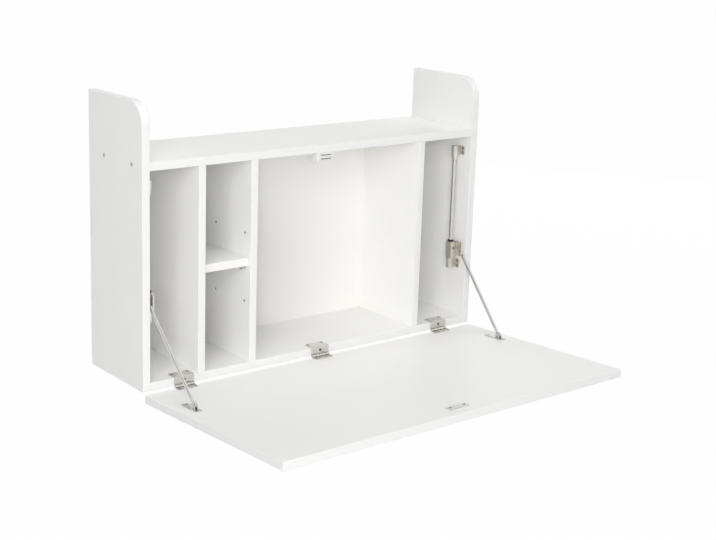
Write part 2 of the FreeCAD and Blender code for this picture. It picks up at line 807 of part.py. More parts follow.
# Wide boards
top_panel = front_rounded(box(-inner_x, inner_x, front_y, 0, bay_roof_z, shelf_top_z))
top_groove = groove(-inner_x, inner_x, bay_roof_z, bay_roof_z + groove_depth)
top_panel = cut(top_panel, [top_groove] + holes(top_panel_screws) + dowel_holes + holes(catch_screws))
groove_x = inner_x + groove_depth
bottom_panel = front_rounded(box(-half_width, half_width, front_y, 0, floor_z, bay_floor_z))
bottom_groove = groove(-groove_x, groove_x, bay_floor_z - groove_depth, bay_floor_z)
bottom_panel = cut(bottom_panel, [bottom_groove] + holes(bottom_panel_screws) + holes(hinge_cabinet_screws))
back_x = groove_x - groove_end_gap
back_reach = groove_depth - groove_end_gap
back_panel = box(-back_x, back_x, back_front_y, -back_inset, bay_floor_z - back_reach, bay_roof_z + back_reach)
small_shelf = box(cubby_left_x + shelf_side_gap, cubby_right_x - shelf_side_gap, front_y + shelf_setback,
                  back_front_y - shelf_rear_gap, shelf_under_z, shelf_under_z + board)
shelf_front_y = front_y + shelf_setback
small_shelf = rounded(small_shelf, edge_radius,
                      lambda spot, way: same(spot.y, shelf_front_y) and along(way, RIGHT))

pieces = {
    "left_side_panel": side_panel("left"),
    "right_side_panel": side_panel("right"),
    "top_panel": top_panel,
    "bottom_panel": bottom_panel,
    "back_panel": back_panel,
    "small_shelf": small_shelf,
    "shelf_pins": Part.makeCompound(shelf_pins),
    "top_panel_screws": screws(top_panel_screws),
    "bottom_panel_screws": screws(bottom_panel_screws),
    "divider_dowels": Part.makeCompound(dowels),
    "wall_hangers": Part.makeCompound(wall_hangers),
    "hanger_screws": screws(hanger_screws),
    "catch_body": catch_body,
    "catch_magnet": magnet(0),
    "catch_pole_plates": Part.makeCompound([pole(-1, 0), pole(1, 0)]),
    "catch_screws": screws(catch_screws),
    "hinge_cabinet_screws": screws(hinge_cabinet_screws),
    "flap_board": open_turn(flap),
    "strike_plate": open_turn(strike_plate),
    "strike_screws": open_turn(screws(strike_screws)),
    "hinge_flap_screws": open_turn(screws(hinge_flap_screws)),
}
for name in dividers:
    pieces[name] = divider(name)
for name, x in hinge_places.items():
    pieces[name + "_hinge_cabinet_leaf"] = fixed_leaf(x)
    pieces[name + "_hinge_flap_leaf"] = open_turn(flap_leaf(x))
    pieces[name + "_hinge_pin"] = hinge_pin(x)
for name, sign in SIDES.items():
    pieces[name + "_guide_rod"] = guide_rod(sign)
    pieces[name + "_upper_rod_foot"] = upper_foot(name)
    pieces[name + "_lower_rod_foot"] = lower_foot(name)
    pieces[name + "_rod_foot_screws"] = screws(foot_screws[name])
    pieces[name + "_slider_body"] = slider_body(sign)
    pieces[name + "_slider_bush"] = slider_bush(sign)
    pieces[name + "_brake_screw"] = brake_screw(sign)
    pieces[name + "_pivot_stud"] = pivot_stud(sign)
    pieces[name + "_arm"] = arm(sign)
    pieces[name + "_arm_rivet"] = arm_rivet(sign)
    pieces[name + "_flap_bracket"] = open_turn(flap_bracket(name))
    pieces[name + "_bracket_pin"] = open_turn(bracket_pin(sign))
    pieces[name + "_bracket_screws"] = open_turn(screws(bracket_screws[name]))

os.makedirs("parts", exist_ok=True)
for name, shape in pieces.items():
    shape.exportStep("parts/" + name + ".step")
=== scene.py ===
"""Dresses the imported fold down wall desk: board and metal finishes, modelled fittings and a stage."""
import json
import math

import bpy
from bpy.props import FloatProperty, FloatVectorProperty, IntProperty, PointerProperty
from mathutils import Euler, Matrix, Vector

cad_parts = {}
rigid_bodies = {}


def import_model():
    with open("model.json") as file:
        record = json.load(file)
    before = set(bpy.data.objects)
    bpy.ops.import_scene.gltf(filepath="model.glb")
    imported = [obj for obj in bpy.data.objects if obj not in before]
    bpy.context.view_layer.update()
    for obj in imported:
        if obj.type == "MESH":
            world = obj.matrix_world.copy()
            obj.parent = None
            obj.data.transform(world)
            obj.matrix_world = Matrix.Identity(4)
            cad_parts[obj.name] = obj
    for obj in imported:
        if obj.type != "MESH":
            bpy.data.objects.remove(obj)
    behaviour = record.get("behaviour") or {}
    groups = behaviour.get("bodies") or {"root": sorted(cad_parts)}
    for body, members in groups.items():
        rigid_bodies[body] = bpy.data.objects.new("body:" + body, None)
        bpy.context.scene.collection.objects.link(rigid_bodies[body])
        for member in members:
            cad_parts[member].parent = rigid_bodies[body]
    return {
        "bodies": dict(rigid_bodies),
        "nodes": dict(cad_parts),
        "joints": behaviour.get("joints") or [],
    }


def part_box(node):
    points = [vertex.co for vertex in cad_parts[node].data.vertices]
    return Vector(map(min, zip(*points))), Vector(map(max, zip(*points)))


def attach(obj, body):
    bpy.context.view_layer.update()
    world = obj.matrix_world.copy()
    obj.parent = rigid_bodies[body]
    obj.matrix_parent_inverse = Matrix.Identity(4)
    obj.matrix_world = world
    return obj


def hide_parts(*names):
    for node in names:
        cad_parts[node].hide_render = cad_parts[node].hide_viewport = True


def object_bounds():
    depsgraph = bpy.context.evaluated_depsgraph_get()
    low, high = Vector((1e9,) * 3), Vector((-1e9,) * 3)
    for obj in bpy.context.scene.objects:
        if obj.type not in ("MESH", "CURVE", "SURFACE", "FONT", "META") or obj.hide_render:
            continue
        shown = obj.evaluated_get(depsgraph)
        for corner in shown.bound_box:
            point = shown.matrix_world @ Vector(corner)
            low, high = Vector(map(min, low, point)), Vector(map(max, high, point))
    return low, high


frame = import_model()
cad_low, cad_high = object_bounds()
nodes = frame["nodes"]

bl_info = {
    "name": "Fold Down Wall Desk",
    "version": (1, 0, 0),
    "blender": (4, 5, 0),
    "location": "3D View > Sidebar > Wall Desk",
    "description": "Finishes and fittings of a fold down wall desk around its packed CAD model",
    "category": "Object",
}

MM = 0.001
SIDES = {"left": -1, "right": 1}
HINGES = ("left", "middle", "right")
CABINET_BOARDS = ("left_side_panel", "right_side_panel", "top_panel", "bottom_panel", "small_shelf",
                  "left_divider", "centre_divider", "right_divider")
UP = Vector((0, 0, 1))
REAR = Vector((0, 1, 0))
RIGHT = Vector((1, 0, 0))
QUARTER_TURN = math.pi / 2

# Least part of a face's normal along a way for the face to count as square to it, mostly or partly facing it
SQUARE_ON = 0.9
MOSTLY_ON = 0.7
PARTLY_ON = 0.5

# Fineness of the patterns in the finishes, in repeats per metre
FACE_CLOUDS = 6.0
FACE_PEARL = 1500.0
FACE_SHEEN = 220.0
CORE_CHIPS = 420.0
CORE_GRAIN = 500.0
SHEET_CLOUDS = 9.0
SHEET_FIBRES = 900.0
SHEET_PATCHES = 14.0
SHEET_SHEEN = 180.0
PLATING_CLOUDS = 90.0
FINE_GRAIN = 2600.0
CAST_GRAIN = 3200.0
PLASTIC_CLOUDS = 120.0
PLASTIC_GRAIN = 2000.0
MAGNET_GRAIN = 1600.0
BEECH_GRAIN = 700.0

# Screen pattern on the rear of the hardboard: its fineness in radians per metre, and its share of the relief
SCREEN_WAVES = 2600.0
SCREEN_SHARE = 0.6

# Stretch of a grain that runs along one way
ALONG_X = (0.05, 1, 1)
ALONG_Z = (1, 1, 0.05)
BEECH_ALONG_Z = (1, 1, 0.06)
ALL_WAYS = (1, 1, 1)

# Roughness of raw board and raw hardboard over their finished faces, and of the sheet and the dowels
CORE_DULLNESS = 0.4
SHEET_DULLNESS = 0.45
SHEET_ROUGHNESS = 0.39
BEECH_ROUGHNESS = 0.70

# Name, colour setting, roughness, grain and brush of each plated finish
PLATED = {
    "nickel_steel": ("nickel_sheet_finish", "nickel_colour", 0.17, FINE_GRAIN, ALONG_X),
    "bright_rod": ("nickel_rod_finish", "rod_colour", 0.15, FINE_GRAIN, ALONG_Z),
    "strike": ("strike_finish", "strike_colour", 0.42, FINE_GRAIN, ALONG_X),
    "poles": ("pole_steel_finish", "pole_colour", 0.35, FINE_GRAIN, ALONG_X),
    "zinc_casting": ("zinc_casting_finish", "casting_colour", 0.40, CAST_GRAIN, ALL_WAYS),
    "zinc_plated_screws": ("zinc_screw_finish", "zinc_colour", 0.30, FINE_GRAIN, ALL_WAYS),
    # Painted shade: the strike's and the hinges' screws are made dark to stand in for the shade in their
    # recesses
    "dark_screws": ("dark_screw_finish", "shade_dark_screw_colour", 0.32, FINE_GRAIN, ALL_WAYS),
    "panel_screws": ("panel_screw_finish", "panel_screw_colour", 0.34, FINE_GRAIN, ALL_WAYS),
}

# Name, colour setting, roughness and grain of each moulded finish
MOULDED = {
    "white_plastic": ("white_plastic_finish", "white_colour", 0.42, PLASTIC_GRAIN),
    "black_plastic": ("black_plastic_finish", "black_colour", 0.45, PLASTIC_GRAIN),
    "magnet": ("magnet_finish", "magnet_colour", 0.70, MAGNET_GRAIN),
}

# Form of a screw as shares: rim and socket of the head, point of the shank, tip of the core
RIM_SHARE = 0.06
SOCKET_SHARE = 0.40
SOCKET_INSET_SHARE = 0.02
POINT_SHARE = 1.6
TIP_SHARE = 0.06
# Heights where a thread's root starts and ends, as shares of the pitch
ROOT_SHARES = (0.3, 0.6)
# Shank radius that the thread pitch is given for
PITCH_SHANK = 1.5 * MM
# Size of the bottom of a recess blade against its top
BLADE_TAPER = (0.45, 0.6, 1)
# Turn from each screw to the next, so that no two recesses stand alike
TURN_STEP = 2.4
# Depth of the rim of points that shows where a screw's head lies
HEAD_DEPTH = 0.02 * MM

# Radius and height of a domed rivet head and of a cheese head, from the crown to the underside, as shares
DOME_SHARES = ((0.25, 0.0), (0.55, 0.10), (0.80, 0.30), (0.95, 0.60), (1.0, 0.85), (1.0, 1.0))
CHEESE_SHARES = ((0.86, 0.0), (0.96, 0.12), (1.0, 0.3), (1.0, 1.0))

# How a copy of a CAD fitting is merged, made whole and rounded
MERGE_DISTANCE = 0.002 * MM
FLAT_ANGLE = math.radians(3)
ROUND_ANGLE = math.radians(40)
ROUND_SEGMENTS = 2

# Angles in degrees up to which turned pieces, rounded copies and rods are shaded smooth
SMOOTH_TURNED = 40
SMOOTH_ROUNDED = 32
SMOOTH_ROD = 35

# Azimuth and elevation in degrees, side and distance in metres, and the setting that holds the power
LAMPS = {
    "high_lamp": (-20, 80, 5.1, 6.0, "high_power"),
    "front_lamp": (-46, 20, 3.2, 6.0, "front_power"),
    "near_lamp": (-32, 8, 1.6, 4.0, "near_power"),
    "rear_lamp": (128, 2, 4.0, 6.0, "rear_power"),
}
SENSOR_WIDTH = 36
# Way to the unlit part of the room, and how square to it gloss looks where the dark starts and is full
ROOM_WAY = (-0.57, -0.78, 0.25)
ROOM_EDGE = (0.55, 0.95)

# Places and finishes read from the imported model
FLAP_HINGE = Vector(next(j["pos_m"] for j in frame["joints"] if j["name"] == "flap_fold"))
CABINET_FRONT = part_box("bottom_panel")[0].y
NODE_SLOTS = {name: node.material_slots[0].material.name for name, node in nodes.items()}
strike_tops = [f for f in nodes["strike_plate"].data.polygons if f.normal.z > SQUARE_ON]
FLAP_UP = max(strike_tops, key=lambda f: f.area).normal.copy()
FLAP_TILT = math.atan2(FLAP_UP.y, FLAP_UP.z)


def colour(label, note, default):
    """Colour setting."""
    return FloatVectorProperty(name=label, description=note, subtype="COLOR", size=3, min=0, max=1,
                               default=default)


def length(label, note, default):
    """Length setting in metres."""
    return FloatProperty(name=label, description=note, default=default, min=0, unit="LENGTH", precision=5)


def share(label, note, default):
    """Setting between nothing and all."""
    return FloatProperty(name=label, description=note, default=default, min=0, max=1, subtype="FACTOR")


def angle(label, note, degrees):
    """Angle setting."""
    return FloatProperty(name=label, description=note, default=math.radians(degrees), subtype="ANGLE")


def power(label, note, watts):
    """Lamp power setting."""
    return FloatProperty(name=label, description=note, default=watts, min=0, unit="POWER")


class BoardSettings(bpy.types.PropertyGroup):
    """Finish of the boards"""
    face_colour: colour("Face", "Melamine face of the boards", (0.897, 0.894, 0.878))
    # Partly the band's own tone and partly painted shade: darker than the face, to tone down the brightly
    # lit edges
    band_colour_and_shade: colour("Edge band", "Glued edge band", (0.850, 0.850, 0.842))
    joint_colour: colour("Band joint", "Fine glue line beside the edge band", (0.66, 0.65, 0.62))
    core_dark: colour("Core dark", "Dark chips of the raw particle board", (0.36, 0.25, 0.14))
    core_light: colour("Core light", "Light chips of the raw particle board", (0.66, 0.52, 0.35))
    # Partly the raw core's own colour and partly painted shade: the core inside a drilled hole is darkened
    # well below its dark chips
    hole_shade_tone: share("Hole tone", "Tone of the core inside a drilled hole", 0.25)
    sheet_colour: colour("Back sheet", "Lacquered front of the thin back", (0.870, 0.864, 0.845))
    raw_dark: colour("Raw sheet dark", "Fibres of the raw rear of the thin back", (0.19, 0.115, 0.06))
    raw_light: colour("Raw sheet light", "Ground of the raw rear of the thin back", (0.33, 0.215, 0.12))
    band_thickness: length("Band thickness", "Thickness of the edge band", 0.6 * MM)
    joint_width: length("Joint width", "Width of the glue line", 0.12 * MM)
    wall_gap: length("Wall gap", "Distance from the wall within which an edge is left raw", 0.3 * MM)
    skin: length("Skin", "Depth below the faces at which a hole shows the raw core", 0.9 * MM)
    roughness: share("Roughness", "Mean roughness of the melamine", 0.42)


class FittingSettings(bpy.types.PropertyGroup):
    """Finish and detail of the fittings"""
    nickel_colour: colour("Nickel", "Nickel plated sheet", (0.70, 0.68, 0.64))
    rod_colour: colour("Rods", "Bright rods, arms and rivets", (0.70, 0.695, 0.68))
    casting_colour: colour("Casting", "Nickel plated castings", (0.84, 0.80, 0.73))
    zinc_colour: colour("Zinc", "Zinc plated screws", (0.45, 0.44, 0.42))
    panel_screw_colour: colour("Panel screws", "Bright screws that join the boards", (0.62, 0.61, 0.59))
    strike_colour: colour("Strike", "Bright satin plate that meets the catch", (0.86, 0.855, 0.845))
    # Painted shade: dark tone of the strike's and the hinges' screws, standing in for the shade in and round
    # their recesses
    shade_dark_screw_colour: colour("Dark screws", "Screws of the strike and the hinges", (0.20, 0.195, 0.19))
    pole_colour: colour("Poles", "Bare steel of the catch's poles", (0.30, 0.29, 0.28))
    white_colour: colour("White plastic", "Body of the catch", (0.80, 0.80, 0.785))
    black_colour: colour("Black plastic", "Bushes of the stays", (0.016, 0.016, 0.017))
    magnet_colour: colour("Magnet", "Pressed magnet", (0.06, 0.058, 0.056))
    dowel_colour: colour("Dowel", "Beech dowels", (0.58, 0.40, 0.22))
    # Painted shade on the plating: how near a neighbour must be to darken it, and how dark it gets deep in a
    # crease
    crease_shade_depth: length("Crease depth", "How close a neighbour dulls the plating", 3.0 * MM)
    crease_shade_tone: share("Crease tone", "Tone of the plating deep in a crease", 0.3)
    leaf_ease: length("Leaf ease", "Rounding of the hinge leaves", 0.1 * MM)
    foot_ease: length("Foot ease", "Rounding of the rod feet", 0.15 * MM)
    slider_ease: length("Slider ease", "Rounding of the sliders and hangers", 0.2 * MM)
    plate_ease: length("Plate ease", "Rounding of brackets, strike, bushes, catch and pins", 0.3 * MM)
    rivet_head: length("Rivet head", "Height of a rivet's dome", 1.2 * MM)
    rivet_shank: length("Rivet shank", "Radius of a rivet", 2.0 * MM)
    brake_head: length("Brake screw head", "Height of a brake screw's head", 1.6 * MM)
    brake_shank: length("Brake screw shank", "Radius of a brake screw", 1.8 * MM)
    rod_chamfer: length("Rod chamfer", "Chamfer at the ends of the guide rods", 0.6 * MM)
    screw_sides: IntProperty(name="Screw sides", description="Flats round a screw", default=28, min=12,
                             max=64)
    thread_pitch: length("Thread pitch", "Height of one thread turn", 1.5 * MM)
    thread_depth: share("Thread depth", "Depth of the thread as a share of the shank", 0.22)
    recess_width: share("Recess width", "Width of a recess blade as a share of the head", 0.28)
    recess_span: share("Recess span", "Span of the recess as a share of the head", 0.64)
    recess_depth: share("Recess depth", "Depth of the recess as a share of the head", 0.45)


class StageSettings(bpy.types.PropertyGroup):
    """Camera, floor and light"""
    lens: FloatProperty(name="Lens", description="Focal length of the camera", default=69.43, unit="CAMERA")
    camera_place: FloatVectorProperty(name="Camera place", description="Where the camera stands",
                                      subtype="XYZ", unit="LENGTH", size=3,
                                      default=(-1.5295, -2.1755, 0.39697))
    camera_yaw: angle("Yaw", "Turn of the view to the right", 39.038)
    camera_pitch: angle("Pitch", "Turn of the view down", 13.641)
    camera_roll: angle("Roll", "Turn of the camera about its axis", 1.917)
    camera_shift: FloatProperty(name="Shift", default=-0.05,
                                description="Upward shift of the frame as a share of its width")
    floor_drop: length("Floor drop", "Height of the desk above the floor", 0.72)
    floor_size: length("Floor size", "Side of the floor", 40.0)
    floor_colour: colour("Floor", "Pale floor", (0.75, 0.75, 0.75))
    floor_white: share("Floor white", "How far the floor is lifted to white for the camera", 0.985)
    sky_strength: FloatProperty(name="Sky strength", description="Even light from all round", default=0.11)
    high_power: power("High power", "Large lamp overhead", 230.0)
    front_power: power("Front power", "Large lamp at the front left", 177.0)
    near_power: power("Near power", "Small lamp near the camera", 50.0)
    rear_power: power("Rear power", "Large lamp at the rear right", 115.0)
    dark_side: share("Dark side", "Tone of the unlit side of the studio, seen in metal", 0.38)


def boards():
    """Settings of the boards."""
    return bpy.context.scene.desk_boards


def fittings():
    """Settings of the fittings."""
    return bpy.context.scene.desk_fittings


# Node trees


class Nodes:
    """A node tree, with short calls for the nodes that the finishes and the stage need."""

    def __init__(self, tree):
        self.tree = tree

    def emptied(self, output):
        """Surface input of a new output node in the emptied tree."""
        self.tree.nodes.clear()
        return self.node(output).inputs["Surface"]

    def node(self, kind, **settings):
        """New node with its settings."""
        made = self.tree.nodes.new(kind)
        for key, value in settings.items():
            setattr(made, key, value)
        return made

    def feed(self, socket, value):
        """Link a socket, or set it where the value is plain."""
        if isinstance(value, bpy.types.NodeSocket):
            self.tree.links.new(value, socket)
        else:
            socket.default_value = value

    def fill(self, made, values):
        """Feed the inputs of a node by their names or numbers."""
        for name, value in values.items():
            self.feed(made.inputs[name], value)

    def spread(self, value, low, high, from_low=0.3, from_high=0.7, kind="LINEAR"):
        """A value's range stretched to run from low to high."""
        made = self.node("ShaderNodeMapRange", interpolation_type=kind)
        self.fill(made, {"Value": value, "From Min": from_low, "From Max": from_high, "To Min": low,
                         "To Max": high})
        return made.outputs["Result"]

    def around(self, pattern, middle, swing):
        """A value that a pattern moves to both sides of its middle."""
        return self.spread(pattern, middle - swing, middle + swing)

    def sums(self, operation, first, second=0.0, third=None):
        """Result of a sum on two or three values."""
        made = self.node("ShaderNodeMath", operation=operation)
        self.fill(made, {0: first, 1: second})
        if third is not None:
            self.feed(made.inputs[2], third)
        return made.outputs["Value"]

    def vector(self, operation, first, second=(0, 0, 0), output="Vector"):
        """Result of a sum on vectors."""
        made = self.node("ShaderNodeVectorMath", operation=operation)
        self.fill(made, {0: first, 1: second})
        return made.outputs[output]

    def parts(self, vector):
        """The three parts of a vector."""
        made = self.node("ShaderNodeSeparateXYZ")
        self.feed(made.inputs[0], vector)
        return made.outputs

    def blend(self, share_of_second, first, second):
        """Colour between two colours."""
        made = self.node("ShaderNodeMix", data_type="RGBA")
        sockets = [s for s in made.inputs if s.type == "RGBA"]
        self.feed(made.inputs["Factor"], share_of_second)
        for socket, value in zip(sockets, (first, second)):
            self.feed(socket, value if isinstance(value, bpy.types.NodeSocket) else (*value, 1))
        return next(s for s in made.outputs if s.type == "RGBA")

    def mixed(self, share_of_second, first, second):
        """Shader between two shaders."""
        made = self.node("ShaderNodeMixShader")
        self.fill(made, {0: share_of_second, 1: first, 2: second})
        return made.outputs[0]


class Finish(Nodes):
    """One material, with the patterns that its finish needs."""

    def __init__(self, name, metal=0.0):
        self.material = bpy.data.materials.new(name)
        self.material.use_nodes = True
        super().__init__(self.material.node_tree)
        self.shader = self.tree.nodes["Principled BSDF"]
        self.shader_input("Metallic", metal)
        coordinates = self.node("ShaderNodeTexCoord").outputs
        self.place = coordinates["Object"]
        self.facing = coordinates["Normal"]

    def shader_input(self, name, value):
        """Feed one input of the surface."""
        self.feed(self.shader.inputs[name], value)

    def stretched(self, scale, turn=(0, 0, 0), shift=(0, 0, 0)):
        """Object coordinates, turned, shifted and stretched."""
        made = self.node("ShaderNodeMapping")
        self.fill(made, {"Vector": self.place, "Scale": scale, "Rotation": turn, "Location": shift})
        return made.outputs["Vector"]

    def noise(self, scale, detail=2.0, rough=0.5, place=None):
        """Cloudy pattern, on Object coordinates unless a place is given."""
        made = self.node("ShaderNodeTexNoise")
        self.fill(made, {"Vector": self.place if place is None else place, "Scale": scale, "Detail": detail,
                         "Roughness": rough})
        return made.outputs["Fac"]

    def chips(self, scale):
        """Pattern of flat chips."""
        made = self.node("ShaderNodeTexVoronoi")
        self.fill(made, {"Vector": self.place, "Scale": scale})
        return made.outputs["Color"]

    def varied(self, pattern, base, darker, lighter):
        """A colour that a pattern moves between a darker and a lighter tone."""
        return self.blend(self.spread(pattern, 0.0, 1.0), shaded(base, darker), shaded(base, lighter))

    def openness(self, depth):
        """One on open faces, towards nought in creases and beside close neighbours; the plating paints shade
        with it.
        """
        made = self.node("ShaderNodeAmbientOcclusion", samples=8)
        self.feed(made.inputs["Distance"], depth)
        return made.outputs["AO"]

    def relief(self, height, strength, depth):
        """Fine relief on the surface."""
        made = self.node("ShaderNodeBump")
        self.fill(made, {"Strength": strength, "Distance": depth, "Height": height})
        self.shader_input("Normal", made.outputs["Normal"])


def shaded(colour_value, amount):
    """A colour made darker or lighter by a share."""
    return tuple(min(1.0, c * amount) for c in colour_value)


# Finishes


def melamine(node, band_test):
    """White melamine on the particle board of one node, with an edge band where the test says."""
    settings = boards()
    finish = Finish(node + "_finish")
    face = settings.face_colour
    tone = finish.varied(finish.noise(FACE_CLOUDS, detail=3.0), face, darker=0.992, lighter=1.008)
    pearl = finish.noise(FACE_PEARL, rough=0.6)
    tone = finish.blend(finish.spread(pearl, 0.0, 0.35), tone, shaded(face, 0.965))
    band, joint = band_test(finish)
    # Edge band tone, partly its own and partly painted shade on the lit edges
    tone = finish.blend(band, tone, settings.band_colour_and_shade)
    tone = finish.blend(joint, tone, settings.joint_colour)
    core = rear_core(finish)
    chips = finish.spread(finish.chips(CORE_CHIPS), 0.0, 1.0, from_low=0.15, from_high=0.85)
    tone = finish.blend(core, tone, finish.blend(chips, settings.core_dark, settings.core_light))
    if node in CABINET_BOARDS:
        drilled = drilled_core(finish, node)
        # Raw core inside the drilled holes, darkened further with painted shade
        tone = finish.blend(drilled, tone, shaded(settings.core_dark, settings.hole_shade_tone))
        core = finish.sums("MAXIMUM", core, drilled)
    finish.shader_input("Base Color", tone)
    sheen = finish.around(finish.noise(FACE_SHEEN), settings.roughness, swing=0.05)
    finish.shader_input("Roughness", finish.sums("MULTIPLY_ADD", core, CORE_DULLNESS, sheen))
    grain = finish.sums("MULTIPLY_ADD", core, finish.noise(CORE_GRAIN, detail=4.0), pearl)
    finish.relief(grain, strength=0.10, depth=0.06 * MM)
    return finish.material


def rear_core(finish):
    """One on the raw rear edges against the wall, nought elsewhere."""
    rearward = finish.sums("GREATER_THAN", finish.parts(finish.facing)["Y"], SQUARE_ON)
    at_wall = finish.sums("GREATER_THAN", finish.parts(finish.place)["Y"], -boards().wall_gap)
    return finish.sums("MULTIPLY", rearward, at_wall)


def drilled_core(finish, node):
    """One inside the drilled holes of a board, nought elsewhere."""
    low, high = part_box(node)
    high.z = min(high.z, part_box("top_panel")[1].z)
    middle, half = (low + high) / 2, (high - low) / 2
    off_middle = finish.vector("ABSOLUTE", finish.vector("SUBTRACT", finish.place, middle))
    x, y, z = finish.parts(finish.vector("SUBTRACT", half, off_middle))
    depth = finish.sums("MINIMUM", finish.sums("MINIMUM", x, y), z)
    return finish.sums("GREATER_THAN", depth, boards().skin)


def front_band(finish):
    """Edge band, and the joint beside it, on the front edges of the cabinet boards."""
    settings = boards()
    inner = CABINET_FRONT + settings.band_thickness
    y = finish.parts(finish.place)["Y"]
    return finish.sums("LESS_THAN", y, inner), finish.sums("COMPARE", y, inner, settings.joint_width / 2)


def outline_band(finish):
    """Edge band that runs up the front of a side panel, round its corner and over its top."""
    across = finish.sums("ABSOLUTE", finish.parts(finish.facing)["X"])
    on_face = finish.sums("GREATER_THAN", across, MOSTLY_ON)
    return finish.sums("SUBTRACT", 1.0, on_face), finish.sums("MULTIPLY", on_face, front_band(finish)[1])


def round_band(finish):
    """Edge band on all four edges of the flap, in the flap's own level frame."""
    settings = boards()
    turn = Euler((FLAP_TILT, 0, 0))
    place = finish.stretched((1, 1, 1), turn, FLAP_HINGE - turn.to_matrix() @ FLAP_HINGE)
    x, y, _ = finish.parts(place)
    half, front, rear = flap_outline()
    from_middle = finish.sums("ABSOLUTE", finish.sums("SUBTRACT", y, (front + rear) / 2))
    beyond_side = finish.sums("SUBTRACT", finish.sums("ABSOLUTE", x), half - settings.band_thickness)
    beyond_end = finish.sums("SUBTRACT", from_middle, (rear - front) / 2 - settings.band_thickness)
    beyond = finish.sums("MAXIMUM", beyond_side, beyond_end)
    joint = finish.sums("COMPARE", beyond, 0.0, settings.joint_width / 2)
    return finish.sums("GREATER_THAN", beyond, 0.0), joint


def flap_outline():
    """Half width, front and rear of the flap in its level frame."""
    level = Matrix.Rotation(FLAP_TILT, 4, "X")
    about = Matrix.Translation(FLAP_HINGE) @ level @ Matrix.Translation(-FLAP_HINGE)
    points = [about @ v.co for v in nodes["flap_board"].data.vertices]
    return max(p.x for p in points), min(p.y for p in points), max(p.y for p in points)


def hardboard(name):
    """Thin hardboard: lacquered white in front, raw with a screen pattern behind."""
    settings = boards()
    finish = Finish(name)
    clouds = finish.noise(SHEET_CLOUDS, detail=3.0)
    front = finish.varied(clouds, settings.sheet_colour, darker=0.99, lighter=1.006)
    fibre = finish.noise(SHEET_FIBRES, detail=5.0, rough=0.7)
    raw = finish.blend(finish.spread(fibre, 0.0, 1.0), settings.raw_dark, settings.raw_light)
    patches = finish.spread(finish.noise(SHEET_PATCHES, detail=3.0), 0.0, 0.35)
    raw = finish.blend(patches, raw, shaded(settings.raw_light, 1.15))
    behind = finish.sums("GREATER_THAN", finish.parts(finish.facing)["Y"], PARTLY_ON)
    finish.shader_input("Base Color", finish.blend(behind, front, raw))
    sheen = finish.around(finish.noise(SHEET_SHEEN), SHEET_ROUGHNESS, swing=0.05)
    finish.shader_input("Roughness", finish.sums("MULTIPLY_ADD", behind, SHEET_DULLNESS, sheen))
    x, _, z = finish.parts(finish.place)
    waves = [finish.sums("SINE", finish.sums("MULTIPLY", axis, SCREEN_WAVES)) for axis in (x, z)]
    screen = finish.sums("MULTIPLY", behind, finish.sums("MULTIPLY", *waves))
    height = finish.sums("MULTIPLY_ADD", screen, SCREEN_SHARE, fibre)
    finish.relief(height, strength=0.25, depth=0.08 * MM)
    return finish.material


def plated(name, colour_name, rough, grain, brush):
    """Plated metal with a fine brush along one direction, faint clouds and painted shade in its creases."""
    settings = fittings()
    base = getattr(settings, colour_name)
    finish = Finish(name, metal=1.0)
    tone = finish.varied(finish.noise(PLATING_CLOUDS, detail=4.0), base, darker=0.955, lighter=1.03)
    # Painted shade: the plating is darkened in creases and beside close neighbours, where shade falls
    bright = finish.spread(finish.openness(settings.crease_shade_depth), 0.0, 1.0, from_low=0.2, from_high=0.8)
    tone = finish.blend(bright, shaded(base, settings.crease_shade_tone), tone)
    finish.shader_input("Base Color", tone)
    lines = finish.noise(grain, detail=4.0, rough=0.65, place=finish.stretched(brush))
    finish.shader_input("Roughness", finish.around(lines, rough, swing=0.045))
    finish.relief(lines, strength=0.04, depth=0.03 * MM)
    return finish.material


def moulded(name, colour_name, rough, grain):
    """Moulded plastic with a fine eroded texture."""
    finish = Finish(name)
    base = getattr(fittings(), colour_name)
    tone = finish.varied(finish.noise(PLASTIC_CLOUDS), base, darker=0.96, lighter=1.03)
    finish.shader_input("Base Color", tone)
    skin = finish.noise(grain, detail=3.0, rough=0.6)
    finish.shader_input("Roughness", finish.around(skin, rough, swing=0.06))
    finish.relief(skin, strength=0.15, depth=0.05 * MM)
    return finish.material


def beech(name):
    """Beech dowel with fine upright grain and flecks."""
    finish = Finish(name)
    grain = finish.noise(BEECH_GRAIN, detail=4.0, rough=0.6, place=finish.stretched(BEECH_ALONG_Z))
    tone = finish.varied(grain, fittings().dowel_colour, darker=0.8, lighter=1.15)
    finish.shader_input("Base Color", tone)
    finish.shader_input("Roughness", finish.around(grain, BEECH_ROUGHNESS, swing=0.08))
    finish.relief(grain, strength=0.3, depth=0.1 * MM)
    return finish.material


def new_finish(slot):
    """Make the finish of a board, or of one of the fittings' slots."""
    if slot in CABINET_BOARDS:
        return melamine(slot, outline_band if "side" in slot else front_band)
    if slot == "flap_board":
        return melamine(slot, round_band)
    if slot == "back_sheet":
        return hardboard("back_sheet_finish")
    if slot == "dowel_wood":
        return beech("dowel_wood_finish")
    if slot in MOULDED:
        return moulded(*MOULDED[slot])
    return plated(*PLATED[slot])


made_finishes = {}


def finish_of(slot):
    """The finish of a slot, made once."""
    if slot not in made_finishes:
        made_finishes[slot] = new_finish(slot)
    return made_finishes[slot]


def stand_for(piece, node, finish=None):
    """Dress a modelled piece, and let it stand for a CAD node on that node's body."""
    slot = NODE_SLOTS[node]
    piece.data.materials.clear()
    piece.data.materials.append(finish_of(finish or slot))
    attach(piece, next(name for name, empty in frame["bodies"].items() if nodes[node].parent == empty))
    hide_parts(node)


def dress_node(name, slot):
    """Give a carried over CAD node its finish through its own slots."""
    for place in nodes[name].material_slots:
        place.material = finish_of(slot)


# Modelling by hand


